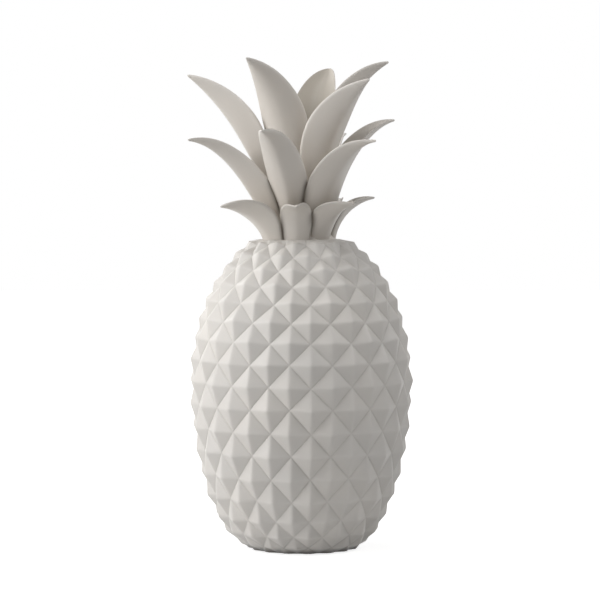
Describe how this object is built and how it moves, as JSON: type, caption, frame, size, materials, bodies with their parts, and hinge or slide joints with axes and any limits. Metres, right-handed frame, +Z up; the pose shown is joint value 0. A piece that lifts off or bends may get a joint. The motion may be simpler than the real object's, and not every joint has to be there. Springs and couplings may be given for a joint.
{
  "type": "pineapple figurine",
  "caption": "Standing pineapple ornament in satin-glazed ceramic: hollow body with rows of low pyramids and a crown of curling leaves in three tiers.",
  "frame": {"origin": "middle of the flat foot, on the surface that the ornament stands on", "axes": "+Z up through the crown; -Y towards the viewer of the picture; +X to the viewer's right"},
  "size_m": [0.1394, 0.1538, 0.3017],
  "materials": {
    "glazed_body": "satin warm-grey off-white glaze, slightly darker in the grooves",
    "glazed_leaf": "satin warm-grey off-white glaze, thinner and paler along the edges",
    "glazed_core": "satin warm-grey off-white glaze"
  },
  "bodies": {
    "root": {"body_shell": "glazed_body", "crown_core": "glazed_core", "lower_leaf_1": "glazed_leaf", "lower_leaf_2": "glazed_leaf", "lower_leaf_3": "glazed_leaf", "lower_leaf_4": "glazed_leaf", "lower_leaf_5": "glazed_leaf", "lower_leaf_6": "glazed_leaf", "lower_leaf_7": "glazed_leaf", "middle_leaf_1": "glazed_leaf", "middle_leaf_2": "glazed_leaf", "middle_leaf_3": "glazed_leaf", "middle_leaf_4": "glazed_leaf", "middle_leaf_5": "glazed_leaf", "middle_leaf_6": "glazed_leaf", "upper_leaf_1": "glazed_leaf", "upper_leaf_2": "glazed_leaf", "upper_leaf_3": "glazed_leaf", "upper_leaf_4": "glazed_leaf", "upper_leaf_5": "glazed_leaf", "upper_leaf_6": "glazed_leaf"}
  },
  "joints": []
}
